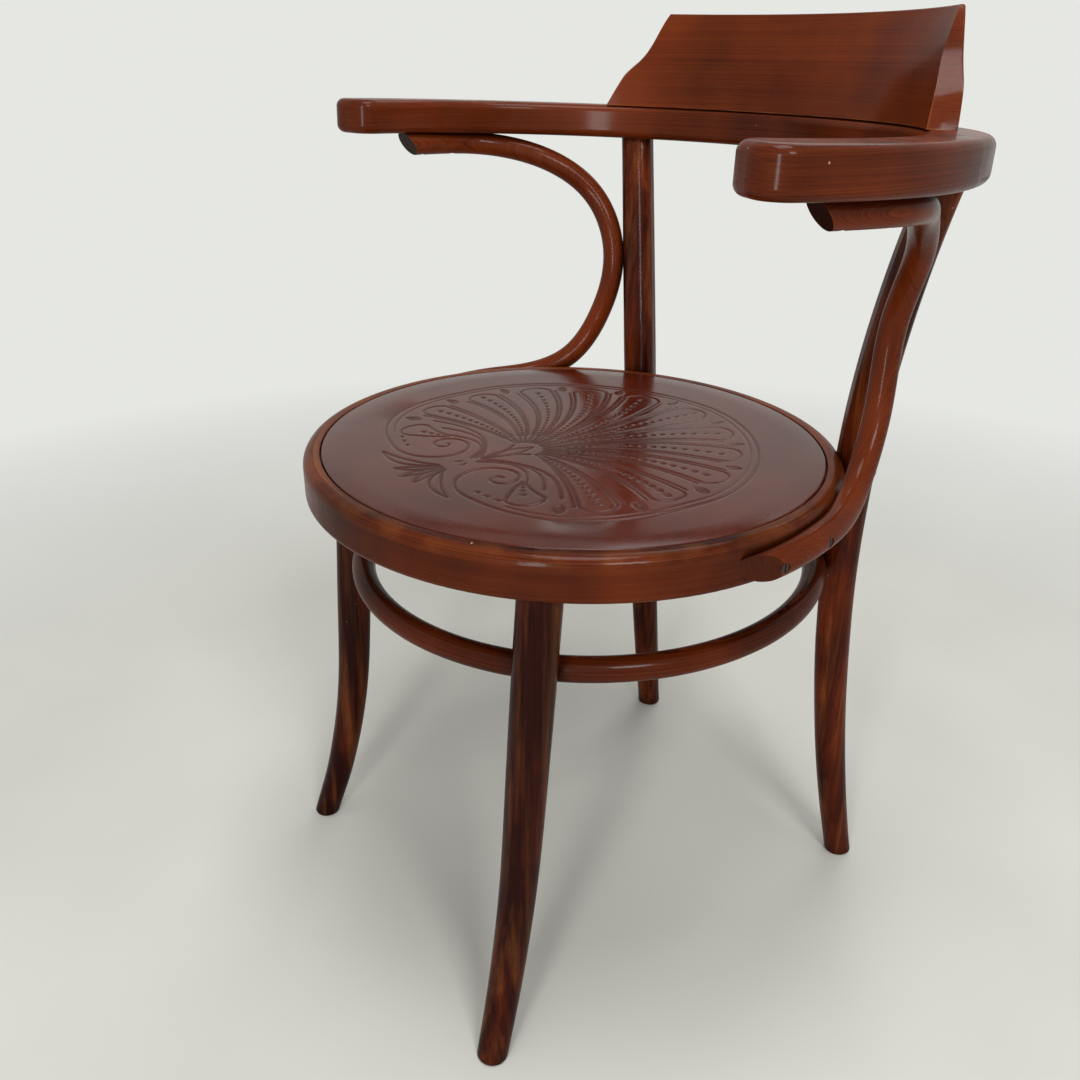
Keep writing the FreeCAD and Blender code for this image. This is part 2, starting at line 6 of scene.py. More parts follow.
import bmesh
import bpy
import numpy as np
from bpy.props import FloatProperty, FloatVectorProperty, IntProperty, PointerProperty
from mathutils import Euler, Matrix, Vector


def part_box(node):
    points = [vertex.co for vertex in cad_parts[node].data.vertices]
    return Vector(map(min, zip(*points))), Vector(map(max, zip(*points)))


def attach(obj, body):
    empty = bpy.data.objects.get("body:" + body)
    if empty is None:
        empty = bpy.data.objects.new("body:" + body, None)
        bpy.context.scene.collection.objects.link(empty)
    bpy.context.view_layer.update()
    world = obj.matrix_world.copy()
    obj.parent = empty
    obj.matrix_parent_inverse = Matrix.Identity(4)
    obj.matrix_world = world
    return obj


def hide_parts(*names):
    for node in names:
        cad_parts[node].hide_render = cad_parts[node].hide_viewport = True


bl_info = {
    "name": "Captains Chair",
    "version": (1, 0, 0),
    "blender": (4, 5, 0),
    "location": "3D View > Sidebar > Chair",
    "description": "Dresses the captains chair with stained wood, its pressed seat panel and its screws",
    "category": "Object",
}

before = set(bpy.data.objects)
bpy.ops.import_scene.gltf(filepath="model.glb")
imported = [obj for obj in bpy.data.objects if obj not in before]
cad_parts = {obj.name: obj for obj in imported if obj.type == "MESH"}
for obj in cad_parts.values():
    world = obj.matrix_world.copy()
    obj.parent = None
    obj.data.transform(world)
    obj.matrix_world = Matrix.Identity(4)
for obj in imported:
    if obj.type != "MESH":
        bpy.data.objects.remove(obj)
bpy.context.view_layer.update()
panel_low, panel_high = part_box("seat_panel")
rim_low, rim_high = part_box("seat_rim")
hoop_low, hoop_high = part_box("leg_ring")
support_low, support_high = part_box("arm_support_left")

MM = 0.001


# Middles that the grain of the bent pieces runs round, in metres

SEAT_MIDDLE = (rim_low + rim_high) / 2
HOOP_MIDDLE = (hoop_low + hoop_high) / 2
BOW_MIDDLE = Vector((0.0, SEAT_MIDDLE.y - 0.018, 0.69))
SUPPORT_MIDDLE = Vector((0.25, SEAT_MIDDLE.y - 0.045, 0.56))


# Marks in the wood, the steel and the floor, as noise scales per metre

STAIN_CLOUDS = 9.0
RUBBED_SPOTS = 34.0
BROAD_BANDS = 70.0
AMBER_STREAKS = 110.0
SMALL_CHIPS = 120.0
FINE_STREAKS = 420.0
PORES = 1500.0
SEAT_WAVES = 6.5
SEAT_CLOUDS = 11.0
SEAT_SCUFFS = 60.0
SEAT_STREAKS = 380.0
DOWEL_STREAKS = 500.0
STEEL_RUBS = 420.0
FLOOR_CLOUDS = 3.0


# How the marks are drawn out along the grain: a scale in straight pieces, a small radius in bent ones

STRAIGHT_DRAW = 0.035
BENT_DRAW = 9 * MM


# Wear, stain, painted shade and painted highlight, in metres, shares and linear colours

WORN_EDGE = 2.5 * MM
# The band along the rim's top is partly wear and partly a painted highlight where its rounded top catches
# the light
WORN_AND_LIT_TOP = 10 * MM
WORN_AND_LIT_TOP_FADE = 7 * MM
WORN_AND_LIT_TOP_SHARE = 0.4
WEAR_AND_HIGHLIGHT_SHARE = 0.42
AMBER_SHARE = 0.26
CHIP_SHARE = 0.7
# Painted shade: how far the darkening near other pieces reaches
CORNER_SHADE_REACH = 18 * MM
CUT_LENGTH = 30 * MM
CUT_FADE = 4 * MM
CUT_LOW_SHARE = 0.55
CUT_LOW_FADE = 10 * MM
# A darker colour on the forward-facing cut at the supports' ends
CUT_END_COLOUR = (0.016, 0.004, 0.002, 1.0)
PRESSED_TINT = (0.32, 0.26, 0.26, 1.0)
RUBBED_STEEL_TINT = (2.2, 2.1, 2.0, 1.0)
# The legs are darker than the other pieces, the front ones most: partly a darker stain, partly painted shade
# of the dim space under the seat
FRONT_LEG_WARMTH_AND_SHADE = -0.3
REAR_LEG_WARMTH_AND_SHADE = -0.12


# Stage and camera, in metres and degrees

FLOOR_HALF = 9.0
FADE_START = 0.65
FADE_END = 1.7
LAMP_AIM = Vector((0.0, 0.0, 0.45))
LAMPS = (
    ("window light", "key", (1.9, -0.5, 1.95), (0.6, 0.6)),
    ("front light", "front", (1.35, -1.65, 0.95), (0.3, 1.2)),
    ("ceiling light", "ceiling", (0.25, -0.1, 2.5), (0.9, 0.9)),
    ("back light", "back", (-0.9, 1.4, 2.3), (1.2, 1.2)),
)
CAMERA_PLACE = (0.69725, -0.51003, 0.75143)
CAMERA_TURN = (65.8328, -0.361, 57.5103)
CAMERA_LENS = 34.572
CAMERA_SHIFT = -0.02347


# Sizes and colours that a user would change

class ChairStain(bpy.types.PropertyGroup):
    """Colours and gloss of the wood and the steel"""
    deep: FloatVectorProperty(
        name="Deep stain", description="Colour of the stain where it lies thick", subtype="COLOR",
        size=4, default=(0.018, 0.0013, 0.0005, 1.0), min=0.0, max=1.0)
    warm: FloatVectorProperty(
        name="Warm stain", description="Colour of the stain where it is thin", subtype="COLOR",
        size=4, default=(0.150, 0.0225, 0.0042, 1.0), min=0.0, max=1.0)
    # Also the colour of the painted highlight along the rim's top
    worn: FloatVectorProperty(
        name="Worn wood", description="Colour of the edges that hands have worn", subtype="COLOR",
        size=4, default=(0.34, 0.11, 0.026, 1.0), min=0.0, max=1.0)
    bare: FloatVectorProperty(
        name="Bare wood", description="Colour of small chips and of the dowels", subtype="COLOR",
        size=4, default=(0.62, 0.42, 0.26, 1.0), min=0.0, max=1.0)
    seat: FloatVectorProperty(
        name="Seat stain", description="Colour of the seat panel", subtype="COLOR",
        size=4, default=(0.052, 0.0062, 0.0024, 1.0), min=0.0, max=1.0)
    steel: FloatVectorProperty(
        name="Steel", description="Colour of the screws and bolts, which were stained with the wood",
        subtype="COLOR", size=4, default=(0.034, 0.012, 0.007, 1.0), min=0.0, max=1.0)
    gloss: FloatProperty(
        name="Lacquer roughness", description="Roughness of the lacquer on the bent pieces",
        default=0.30, min=0.05, max=1.0)
    seat_gloss: FloatProperty(
        name="Seat roughness", description="Roughness of the lacquer on the seat panel",
        default=0.19, min=0.05, max=1.0)


class ChairOrnament(bpy.types.PropertyGroup):
    """Size, place and fineness of the ornament pressed into the seat"""
    half_width: FloatProperty(
        name="Half width", description="Half the width of the ring round the ornament",
        default=0.167, unit="LENGTH")
    half_depth: FloatProperty(
        name="Half depth", description="Half the depth of the ring round the ornament",
        default=0.151, unit="LENGTH")
    back: FloatProperty(
        name="Towards the back", description="How far the ornament's middle lies behind the seat's middle",
        default=0.010, unit="LENGTH")
    depth: FloatProperty(
        name="Pressing depth", description="Depth of the pressed lines", default=0.0008, unit="LENGTH")
    line: FloatProperty(
        name="Line width", description="Width of a pressed line", default=0.0022, unit="LENGTH")
    lobes: IntProperty(
        name="Lobes", description="Number of lobes of the fan", default=13, min=5, max=17)
    cells: IntProperty(
        name="Cells", description="Cells of the pressed field along one side", default=296, min=60, max=300)


class ChairStage(bpy.types.PropertyGroup):
    """Colours of the floor and the surroundings, and strengths of the lamps"""
    floor: FloatVectorProperty(
        name="Floor", description="Colour of the floor", subtype="COLOR",
        size=4, default=(0.66, 0.66, 0.60, 1.0), min=0.0, max=1.0)
    wall: FloatVectorProperty(
        name="Surroundings", description="Colour of what lies beyond the floor", subtype="COLOR",
        size=4, default=(0.79, 0.80, 0.77, 1.0), min=0.0, max=1.0)
    key: FloatProperty(
        name="Window light", description="Strength of the soft main lamp",
        default=22.0, unit="POWER")
    front: FloatProperty(
        name="Front light", description="Strength of the tall narrow lamp",
        default=18.0, unit="POWER")
    ceiling: FloatProperty(
        name="Ceiling light", description="Strength of the lamp above the chair",
        default=26.0, unit="POWER")
    back: FloatProperty(
        name="Back light", description="Strength of the large lamp behind the chair",
        default=12.0, unit="POWER")
    sky: FloatProperty(
        name="Room light", description="Strength of the even light from all round", default=0.26)


# Node helpers

def add(tree, kind, **settings):
    """A node of a kind with its own settings"""
    node = tree.nodes.new(kind)
    for name, value in settings.items():
        setattr(node, name, value)
    return node


def feed(tree, socket, value):
    """Gives a socket a link or a plain value"""
    if isinstance(value, bpy.types.NodeSocket):
        tree.links.new(value, socket)
    else:
        socket.default_value = value


def maths(tree, operation, *values, clamp=False):
    """One step of arithmetic"""
    node = add(tree, "ShaderNodeMath", operation=operation, use_clamp=clamp)
    for socket, value in zip(node.inputs, values):
        feed(tree, socket, value)
    return node.outputs[0]


def between(tree, value, low, high, to_low=0.0, to_high=1.0):
    """A value spread over a range, held at its ends"""
    node = add(tree, "ShaderNodeMapRange")
    feed(tree, node.inputs["Value"], value)
    for name, number in (("From Min", low), ("From Max", high), ("To Min", to_low), ("To Max", to_high)):
        feed(tree, node.inputs[name], number)
    return node.outputs[0]


def blend_colour(tree, share, first, second, mode="MIX"):
    """Two colours mixed by a share of the second"""
    node = add(tree, "ShaderNodeMix", data_type="RGBA", blend_type=mode)
    feed(tree, node.inputs[0], share)
    feed(tree, node.inputs[6], first)
    feed(tree, node.inputs[7], second)
    return node.outputs[2]


def tinted(tree, colour, tint):
    """A colour multiplied by a tint or a number"""
    return blend_colour(tree, 1.0, colour, tint, "MULTIPLY")


def cloud(tree, place, fourth, scale, detail):
    """Soft noise at a place, with a fourth coordinate that moves it or gives another pattern"""
    node = add(tree, "ShaderNodeTexNoise", noise_dimensions="4D")
    feed(tree, node.inputs["Vector"], place)
    feed(tree, node.inputs["W"], fourth)
    feed(tree, node.inputs["Scale"], scale)
    feed(tree, node.inputs["Detail"], detail)
    return node.outputs["Fac"]


def object_place(tree):
    """Place on a piece in the chair's own frame"""
    return add(tree, "ShaderNodeTexCoord").outputs["Object"]


def raise_relief(tree, shader, height, strength, distance):
    """Bump on a shader from a height"""
    bump = add(tree, "ShaderNodeBump")
    bump.inputs["Strength"].default_value = strength
    bump.inputs["Distance"].default_value = distance
    feed(tree, bump.inputs["Height"], height)
    feed(tree, shader.inputs["Normal"], bump.outputs[0])


def blank_material(name):
    """A new material, its node tree and its shader"""
    material = bpy.data.materials.new(name)
    material.use_nodes = True
    tree = material.node_tree
    return material, tree, tree.nodes["Principled BSDF"]


# Grain

def straight_grain(tree, turn=(0.0, 0.0, 0.0)):
    """Place in a straight piece, drawn out along its length, with no further coordinate across it"""
    turned = add(tree, "ShaderNodeMapping")
    feed(tree, turned.inputs["Vector"], object_place(tree))
    turned.inputs["Rotation"].default_value = turn
    turned.inputs["Scale"].default_value = (1.0, 1.0, STRAIGHT_DRAW)
    return turned.outputs[0], 0.0


def bent_grain(tree, middle, turn):
    """Place in a bent piece, drawn out round its middle, and the coordinate along the bend's axis"""
    turned = add(tree, "ShaderNodeMapping")
    feed(tree, turned.inputs["Vector"], object_place(tree))
    turned.inputs["Rotation"].default_value = turn
    moved = middle.copy()
    moved.rotate(Euler(turn))
    turned.inputs["Location"].default_value = -moved
    parts = add(tree, "ShaderNodeSeparateXYZ")
    feed(tree, parts.inputs[0], turned.outputs[0])
    flat = add(tree, "ShaderNodeCombineXYZ")
    feed(tree, flat.inputs[0], parts.outputs[0])
    feed(tree, flat.inputs[1], parts.outputs[1])
    reach = add(tree, "ShaderNodeVectorMath", operation="LENGTH")
    feed(tree, reach.inputs[0], flat.outputs[0])
    heading = add(tree, "ShaderNodeVectorMath", operation="NORMALIZE")
    feed(tree, heading.inputs[0], flat.outputs[0])
    short = add(tree, "ShaderNodeVectorMath", operation="SCALE")
    feed(tree, short.inputs[0], heading.outputs[0])
    short.inputs["Scale"].default_value = BENT_DRAW
    outwards = add(tree, "ShaderNodeCombineXYZ")
    feed(tree, outwards.inputs[2], reach.outputs["Value"])
    place = add(tree, "ShaderNodeVectorMath", operation="ADD")
    feed(tree, place.inputs[0], short.outputs[0])
    feed(tree, place.inputs[1], outwards.outputs[0])
    return place.outputs[0], parts.outputs[2]


def grain_marks(tree, place, across, scale, detail):
    """Noise that follows the grain, with the coordinate across it brought to the noise's scale"""
    return cloud(tree, place, maths(tree, "MULTIPLY", across, scale), scale, detail)


# Wear, painted highlight and painted shade

def edge_wear(tree, reach):
    """How sharply the surface turns within a reach"""
    rounded = add(tree, "ShaderNodeBevel", samples=6)
    rounded.inputs["Radius"].default_value = reach
    facing = add(tree, "ShaderNodeNewGeometry").outputs["Normal"]
    dot = add(tree, "ShaderNodeVectorMath", operation="DOT_PRODUCT")
    feed(tree, dot.inputs[0], rounded.outputs[0])
    feed(tree, dot.inputs[1], facing)
    return between(tree, dot.outputs["Value"], 0.985, 0.86)


def rubbed_wear_and_top_highlight(tree, spot, rubs, worn_and_lit_above):
    """Share of worn stain at the edges, and, above a height where one is given, of a band that is partly
    wear and partly a painted highlight of the rounded top
    """
    wear_and_highlight = edge_wear(tree, WORN_EDGE)
    if worn_and_lit_above is not None:
        height = add(tree, "ShaderNodeSeparateXYZ")
        feed(tree, height.inputs[0], spot)
        # Painted highlight, partly wear: a lighter band above the given height
        top = between(tree, height.outputs[2], worn_and_lit_above, worn_and_lit_above + WORN_AND_LIT_TOP_FADE, 0.0, WORN_AND_LIT_TOP_SHARE)
        wear_and_highlight = maths(tree, "MAXIMUM", wear_and_highlight, top)
    return maths(tree, "MULTIPLY", wear_and_highlight, between(tree, rubs, 0.42, 0.66))


def corner_shade_and_stain(tree):
    """Painted shade in the corners where pieces meet or lie close, which also stands for stain gathered in
    the joints
    """
    corner = add(tree, "ShaderNodeAmbientOcclusion", samples=6)
    corner.inputs["Distance"].default_value = CORNER_SHADE_REACH
    return between(tree, corner.outputs["AO"], 0.35, 0.85, 0.35, 1.0)


def cut_face(tree, spot, end):
    """Share of the darker cut colour on the slanted cut, which faces forwards within a short way of the end,
    with less of it on the lower end
    """
    place = add(tree, "ShaderNodeSeparateXYZ")
    feed(tree, place.inputs[0], spot)
    facing = add(tree, "ShaderNodeSeparateXYZ")
    feed(tree, facing.inputs[0], add(tree, "ShaderNodeNewGeometry").outputs["Normal"])
    forwards = between(tree, facing.outputs[1], -0.35, -0.5)
    close = between(tree, place.outputs[1], end.y + CUT_LENGTH, end.y + CUT_LENGTH - CUT_FADE)
    depth = between(tree, place.outputs[2], end.z, end.z + CUT_LOW_FADE, CUT_LOW_SHARE, 1.0)
    return maths(tree, "MULTIPLY", maths(tree, "MULTIPLY", forwards, close), depth)


# Finishes

def stained_grain(tree, place, across, spot, streaks, warmth, stain):
    """Colour of the stained wood before wear"""
    bands = grain_marks(tree, place, across, BROAD_BANDS, 2.0)
    pores = grain_marks(tree, place, across, PORES, 1.0)
    amber = grain_marks(tree, place, across, AMBER_STREAKS, 3.0)
    clouds = between(tree, cloud(tree, spot, 0.0, STAIN_CLOUDS, 3.0), 0.24, 0.76)
    tone = maths(tree, "ADD", clouds, between(tree, bands, 0.3, 0.7, -0.34, 0.3))
    tone = maths(tree, "ADD", tone, warmth, clamp=True)
    colour = blend_colour(tree, tone, stain.deep, stain.warm)
    colour = blend_colour(tree, between(tree, amber, 0.48, 0.74, 0.0, AMBER_SHARE), colour, stain.worn)
    colour = tinted(tree, colour, between(tree, streaks, 0.3, 0.7, 0.58, 1.28))
    return tinted(tree, colour, between(tree, pores, 0.30, 0.42, 0.5, 1.0))


def lacquered_beech(name, grain, warmth, stain, worn_and_lit_above=None, cut_end=None):
    """Stained bent beech with streaks, cloudy stain, worn edges, small chips and a satin lacquer, darkened
    by painted shade where pieces meet, and with a band that is partly wear and partly painted highlight
    above a height where one is given
    """
    material, tree, shader = blank_material(name)
    place, across = grain(tree)
    spot = object_place(tree)
    streaks = grain_marks(tree, place, across, FINE_STREAKS, 3.0)
    rubs = cloud(tree, spot, 3.0, RUBBED_SPOTS, 4.0)
    wear_and_highlight = rubbed_wear_and_top_highlight(tree, spot, rubs, worn_and_lit_above)
    colour = stained_grain(tree, place, across, spot, streaks, warmth, stain)
    # Worn colour at the edges, and a painted highlight, partly wear, along the rim's top
    colour = blend_colour(tree, maths(tree, "MULTIPLY", wear_and_highlight, WEAR_AND_HIGHLIGHT_SHARE), colour, stain.worn)
    # Painted shade where pieces meet or lie close, partly also stain gathered in the joints
    colour = tinted(tree, colour, corner_shade_and_stain(tree))
    if cut_end is not None:
        # Darker colour on the forward-facing cut at the supports' ends
        colour = blend_colour(tree, cut_face(tree, spot, cut_end), colour, CUT_END_COLOUR)
    chips = between(tree, cloud(tree, spot, 7.0, SMALL_CHIPS, 2.0), 0.765, 0.80)
    colour = blend_colour(tree, maths(tree, "MULTIPLY", chips, CHIP_SHARE), colour, stain.bare)
    feed(tree, shader.inputs["Base Color"], colour)
    rough = between(tree, rubs, 0.3, 0.7, stain.gloss - 0.06, stain.gloss + 0.08)
    rough = maths(tree, "ADD", rough, maths(tree, "MULTIPLY", wear_and_highlight, 0.12))
    feed(tree, shader.inputs["Roughness"], rough)
    shader.inputs["Specular IOR Level"].default_value = 0.02
    shader.inputs["Coat Weight"].default_value = 0.15
    shader.inputs["Coat Roughness"].default_value = 0.13
    height = maths(tree, "ADD", maths(tree, "MULTIPLY", streaks, 0.6), maths(tree, "MULTIPLY", rubs, 0.8))
    raise_relief(tree, shader, height, 0.16, 0.4 * MM)
    return material


def pressed_plywood(name, stain):
    """Stained seat plywood with a deep gloss, darker where the ornament is pressed in"""
    material, tree, shader = blank_material(name)
    place, across = straight_grain(tree, (math.radians(90.0), 0.0, 0.0))
    spot = object_place(tree)
    streaks = cloud(tree, place, across, SEAT_STREAKS, 3.0)
    clouds = cloud(tree, spot, 2.0, SEAT_CLOUDS, 3.0)
    scuffs = cloud(tree, spot, 5.0, SEAT_SCUFFS, 4.0)
    waves = cloud(tree, spot, 9.0, SEAT_WAVES, 1.0)
    pressed = add(tree, "ShaderNodeAttribute", attribute_name="pressed").outputs["Fac"]
    colour = blend_colour(tree, between(tree, clouds, 0.35, 0.65, 0.0, 0.35), stain.seat, stain.warm)
    colour = tinted(tree, colour, between(tree, streaks, 0.3, 0.7, 0.8, 1.14))
    dark = tinted(tree, colour, PRESSED_TINT)
    colour = blend_colour(tree, maths(tree, "MULTIPLY", pressed, 0.7), colour, dark)
    feed(tree, shader.inputs["Base Color"], colour)
    rough = between(tree, scuffs, 0.3, 0.7, stain.seat_gloss - 0.02, stain.seat_gloss + 0.05)
    rough = maths(tree, "ADD", rough, maths(tree, "MULTIPLY", pressed, 0.22))
    feed(tree, shader.inputs["Roughness"], rough)
    shader.inputs["Specular IOR Level"].default_value = 0.23
    height = maths(tree, "ADD", maths(tree, "MULTIPLY", streaks, 0.12), maths(tree, "MULTIPLY", waves, 3.0))
    raise_relief(tree, shader, height, 0.3, 1.2 * MM)
    return material


def plain_beech(name, stain):
    """Unfinished turned beech of the dowels"""
    material, tree, shader = blank_material(name)
    place, across = straight_grain(tree)
    streaks = cloud(tree, place, across, DOWEL_STREAKS, 3.0)
    colour = tinted(tree, stain.bare, between(tree, streaks, 0.3, 0.7, 0.75, 1.1))
    feed(tree, shader.inputs["Base Color"], colour)
    shader.inputs["Roughness"].default_value = 0.7
    return material


def dark_steel(name, stain):
    """Darkened steel with rubbed spots"""
    material, tree, shader = blank_material(name)
    rubs = cloud(tree, object_place(tree), 1.0, STEEL_RUBS, 3.0)
    bright = tinted(tree, stain.steel, RUBBED_STEEL_TINT)
    colour = blend_colour(tree, between(tree, rubs, 0.45, 0.7), stain.steel, bright)
    feed(tree, shader.inputs["Base Color"], colour)
    feed(tree, shader.inputs["Roughness"], between(tree, rubs, 0.3, 0.7, 0.5, 0.34))
    shader.inputs["Metallic"].default_value = 0.5
    return material


def dress(node, material):
    """Gives a carried-over piece its finish"""
    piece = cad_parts[node]
    piece.data.materials.clear()
    piece.data.materials.append(material)


# Ornament of the seat panel, in millimetres from its ring's middle and degrees from the right

FRONT_FULLNESS = 2.8
BACK_FULLNESS = 1.8
BACK = 90.0
RING_END = 247.0
INNER_RING_END = 234.0
RING_GAP = 6.5
EYE_SIZE = 3.4
SCROLL_TURNS = 1.55
LAST_LOBE = 141.0
LAST_ROOT = 96.0
HUB_SIZE = 17.0
FIRST_HALF_WIDTH = 16.5
NARROWING = 3.0
LAST_HALF_WIDTH = 15.0
ROOT_HALF_WIDTH = 1.5
TIP_ROUNDNESS = 0.8
LOBE_BULGE = -0.10
LAST_LOBE_BULGE = 0.05
FIRST_DASH = 0.14
LAST_DASH = 1.03
FRONT_ROW = (238.0, 242.0, 246.0)
LINE_REACH = 2.4
DASH_REACH = 2.5


def direction(angle):
    """One step at an angle in radians"""
    return np.array((math.cos(angle), math.sin(angle)))


def bow_line(start, end, bulge, count):
    """Points of a curved line, bulged to the left of its heading"""
    start = np.array(start, float)
    end = np.array(end, float)
    along = end - start
    side = np.array((-along[1], along[0]))
    share = np.linspace(0, 1, count)[:, None]
    return start + along * share + side * (4 * bulge * share * (1 - share))


def offset_line(points, widths):
    """The same line moved sideways by a width at each point"""
    heading = np.gradient(points, axis=0)
    heading /= np.linalg.norm(heading, axis=1)[:, None]
    side = np.stack([-heading[:, 1], heading[:, 0]], 1)
    return points + side * widths[:, None]


def ring_reach(turn, half_width, half_depth):
    """Distance of the ornament's ring from its middle, a little fuller towards the front"""
    power = np.where(np.sin(turn) < 0, FRONT_FULLNESS, BACK_FULLNESS)
    across = np.abs(np.cos(turn)) / half_width
    along = np.abs(np.sin(turn)) / half_depth
    return (across ** power + along ** power) ** (-1 / power)


def ring_points(half_width, half_depth, start, end, count=121):
    """Points of the ring from one angle to another"""
    turn = np.radians(np.linspace(start, end, count))
    reach = ring_reach(turn, half_width, half_depth)
    return np.stack([reach * np.cos(turn), reach * np.sin(turn)], 1)


def volute(eye, start, inner, turns, count=56):
    """Points of a spiral that tightens by the same share all the way from its start to its eye"""
    away = start - eye
    outer = np.linalg.norm(away)
    share = np.linspace(0, 1, count)
    turn = math.atan2(away[1], away[0]) + 2 * math.pi * turns * share
    reach = outer * (inner / outer) ** share
    return np.stack([eye[0] + reach * np.cos(turn), eye[1] + reach * np.sin(turn)], 1)


def leaf(root, tip, fullness, lean=0.0):
    """The two edges of a pointed leaf"""
    return [bow_line(root, tip, lean + fullness, 12), bow_line(root, tip, lean - fullness, 12)]


def dash_row(axis, length):
    """Dashes along a lobe's axis, longer and wider apart towards its tip"""
    dashes = []
    reach = FIRST_DASH
    while reach < LAST_DASH:
        low = min(len(axis) - 2, int(reach * (len(axis) - 1)))
        over = reach * (len(axis) - 1) - low
        along = axis[low + 1] - axis[low]
        heading = along / np.linalg.norm(along)
        dashes.append((axis[low] + along * over, heading, 1.0 + 1.5 * reach, 1.5 + 1.9 * reach))
        reach += (5.0 + 6.0 * reach) / length
    return dashes


def fan_lobe(root, tip, bulge, half_width):
    """Outline, two ribs and a row of dashes of one lobe, from its narrow root to its round tip"""
    axis = bow_line(root, tip, bulge, 16)
    share = np.linspace(0, 1, len(axis))
    room = ROOT_HALF_WIDTH + (half_width - ROOT_HALF_WIDTH) * share ** 1.15
    heading = axis[-1] - axis[-2]
    heading = heading / np.linalg.norm(heading)
    side = np.array((-heading[1], heading[0]))
    turn = np.radians(np.linspace(0, 180, 13))[1:-1, None]
    cap = axis[-1] + half_width * (side * np.cos(turn) + heading * TIP_ROUNDNESS * np.sin(turn))
    outline = np.vstack([offset_line(axis, room), cap, offset_line(axis, -room)[::-1]])
    gap = 1.8 + 2.6 * share
    ribs = [offset_line(axis, room + gap)[2:], offset_line(axis, -room - gap)[2:]]
    return outline, ribs, dash_row(axis, np.linalg.norm(tip - root))


def lobe_angle(share):
    """Angle of a lobe in radians, by its share of the way from the back to the last lobe"""
    return math.radians(BACK + LAST_LOBE * share ** 0.93)


def lobe_tip(share, half_width, wide, deep):
    """Where a lobe's axis ends and its round tip begins"""
    angle = lobe_angle(share)
    return (0.905 * ring_reach(angle, wide, deep) - TIP_ROUNDNESS * half_width) * direction(angle)


def ring_and_scroll(wide, deep, eye):
    """The outer and inner ring, and the scroll that the outer one winds into"""
    outer = ring_points(wide, deep, BACK, RING_END)
    inner = ring_points(wide - RING_GAP, deep - RING_GAP, BACK, INNER_RING_END)
    scroll = volute(eye, outer[-1], EYE_SIZE, SCROLL_TURNS)
    return [(outer, 1.1, 0.9), (inner, 0.8, 0.7), (scroll, 1.1, 1.0)]


def fan(wide, deep, hub, eye, side_lobes):
    """Lobes from the back to the scroll, with a small leaf at the ring after each but the last"""
    lines = []
    dashes = []
    for step in range(side_lobes):
        share = step / side_lobes
        half_width = FIRST_HALF_WIDTH - NARROWING * share
        root = hub + HUB_SIZE * direction(math.radians(BACK + LAST_ROOT * share ** 1.1))
        tip = lobe_tip(share, half_width, wide, deep)
        bulge = LOBE_BULGE * math.sin(math.pi * share) ** 0.8
        outline, ribs, marks = fan_lobe(root, tip, bulge, half_width)
        lines.append((outline, 1.0, 0.95))
        lines += [(rib, 0.8, 0.8) for rib in ribs]
        dashes += marks
        angle = lobe_angle((step + 0.5) / side_lobes)
        heading = direction(angle)
        reach = ring_reach(angle, wide, deep)
        foot = 0.93 * reach * heading
        point = 0.85 * reach * heading
        lines += [(edge, 0.9, 0.9) for edge in leaf(foot, point, 0.24)]
        dashes.append((foot * 0.6 + point * 0.4, heading, 1.9, 3.8))
    root = eye + np.array((-0.095 * wide, 0.085 * deep))
    tip = lobe_tip(1.0, FIRST_HALF_WIDTH - NARROWING, wide, deep)
    outline, _, marks = fan_lobe(root, tip, LAST_LOBE_BULGE, LAST_HALF_WIDTH)
    lines.append((outline, 1.0, 0.95))
    return lines, dashes + marks


def arches_and_stem(hub, knot, eye):
    """Three arches over the scroll, the stem between hub and knot, and the leaf inside it"""
    lines = []
    for share in (0.0, 0.5, 1.0):
        start = knot + np.array((-5.0 + 4.0 * share, -1.0 + 7.0 * share))
        end = eye + np.array((-17.0 - 42.0 * share, 15.0 + 5.0 * share))
        lines.append((bow_line(start, end, -0.28 + 0.07 * share, 20), 1.0, 0.9))
    stem = bow_line(hub + np.array((-13.0, -2.0)), knot + np.array((-1.0, 7.0)), 0.09, 10)
    lines.append((stem, 1.0, 1.0))
    heart = leaf(knot + np.array((0.0, 9.0)), hub + np.array((0.0, 9.0)), 0.12)
    return lines + [(edge, 0.9, 0.9) for edge in heart]


def spray(wide, deep, knot):
    """Leaves at the front, as the tip's place across and along, the fullness and the lean of each"""
    lines = []
    leaves = ((0.0, -1.14, 0.09, 0.0), (-0.105, -1.115, 0.09, 0.06), (-0.34, -1.06, 0.08, 0.15))
    for across, along, fullness, lean in leaves:
        root = knot + np.array((0.08 * across * wide - 1.0, -0.205 * deep))
        for edge in leaf(root, np.array((across * wide, along * deep)), fullness, lean):
            lines.append((edge, 1.1, 1.0))
    return lines


def front_dashes(wide, deep, knot):
    """Dashes inside the ring's end, and one below the knot"""
    dashes = []
    for turn in FRONT_ROW:
        here, ahead = ring_points(0.925 * wide, 0.925 * deep, turn, turn + 1.0, 2)
        dashes.append((here, (ahead - here) / np.linalg.norm(ahead - here), 1.6, 2.7))
    dashes.append((knot + np.array((-4.0, -13.0)), np.array((0.3, 0.954)), 1.4, 3.4))
    return dashes


def left_half(wide, deep, side_lobes):
    """Lines and dashes of the ornament's left half and of its middle"""
    hub = np.array((0.0, -0.38 * deep))
    knot = np.array((0.0, -0.69 * deep))
    eye = np.array((-0.275 * wide, -0.715 * deep))
    lobes, dashes = fan(wide, deep, hub, eye, side_lobes)
    lines = ring_and_scroll(wide, deep, eye) + lobes
    lines += arches_and_stem(hub, knot, eye) + spray(wide, deep, knot)
    return lines, dashes + front_dashes(wide, deep, knot)


